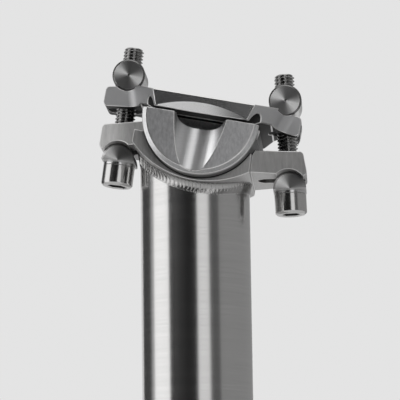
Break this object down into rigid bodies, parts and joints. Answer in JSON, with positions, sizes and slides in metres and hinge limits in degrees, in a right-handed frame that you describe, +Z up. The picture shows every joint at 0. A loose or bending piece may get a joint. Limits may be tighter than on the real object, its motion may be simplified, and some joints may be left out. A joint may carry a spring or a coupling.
{
  "type": "bicycle seatpost",
  "caption": "Round metal bicycle seatpost with a welded head and a tilting saddle-rail clamp held by bolts with barrel nuts and half-round washers.",
  "frame": {"origin": "centre of the tube's lower end, on the tube axis", "axes": "+Z up the tube, +X towards the front of the bicycle (nose of the saddle), +Y to the rider's left"},
  "size_m": [0.0597, 0.053, 0.3762],
  "materials": {
    "titanium_tube": "brushed satin titanium",
    "titanium_weld": "rippled weld, satin",
    "titanium_head": "machined satin titanium",
    "satin_alloy": "satin",
    "polished_alloy": "semi-polished",
    "bolt_steel": "bright steel",
    "washer_steel": "bright steel",
    "turned_steel": "turned, bright"
  },
  "bodies": {
    "post": {"post_tube": "titanium_tube", "weld_bead": "titanium_weld", "head": "titanium_head"},
    "clamp": {"cradle": "satin_alloy", "upper_clamp": "polished_alloy"},
    "rear_bolt_set": {"rear_bolt": "bolt_steel", "rear_thin_washer": "washer_steel", "rear_half_round_washer": "turned_steel"},
    "front_bolt_set": {"front_bolt": "bolt_steel", "front_thin_washer": "washer_steel", "front_half_round_washer": "turned_steel"},
    "rear_nut": {"rear_barrel_nut": "turned_steel"},
    "front_nut": {"front_barrel_nut": "turned_steel"}
  },
  "joints": [
    {"name": "saddle_tilt", "type": "hinge", "parent": "post", "child": "clamp", "pos_m": [0.0035, 0, 0.35], "axis": [0, 1, 0], "range_deg": [-8, 8]},
    {"name": "rear_bolt_lean", "type": "hinge", "parent": "post", "child": "rear_bolt_set", "pos_m": [-0.0219, 0, 0.3418], "axis": [0, 1, 0], "range_deg": [-4.5, 4.5]},
    {"name": "front_bolt_lean", "type": "hinge", "parent": "post", "child": "front_bolt_set", "pos_m": [0.02745, 0, 0.33235], "axis": [0, 1, 0], "range_deg": [-2.4, 2.4]},
    {"name": "rear_nut_turn", "type": "hinge", "parent": "clamp", "child": "rear_nut", "pos_m": [-0.01849, 0, 0.36685], "axis": [0, 1, 0], "range_deg": [-3.8, 3.8]},
    {"name": "front_nut_turn", "type": "hinge", "parent": "clamp", "child": "front_nut", "pos_m": [0.02667, 0, 0.35808], "axis": [0, 1, 0], "range_deg": [-5.9, 5.9]}
  ],
  "couplings": [
    {"joint": "rear_bolt_lean", "follows": "saddle_tilt", "ratio": 0.544},
    {"joint": "front_bolt_lean", "follows": "saddle_tilt", "ratio": 0.2825},
    {"joint": "rear_nut_turn", "follows": "saddle_tilt", "ratio": -0.456},
    {"joint": "front_nut_turn", "follows": "saddle_tilt", "ratio": -0.7175}
  ]
}
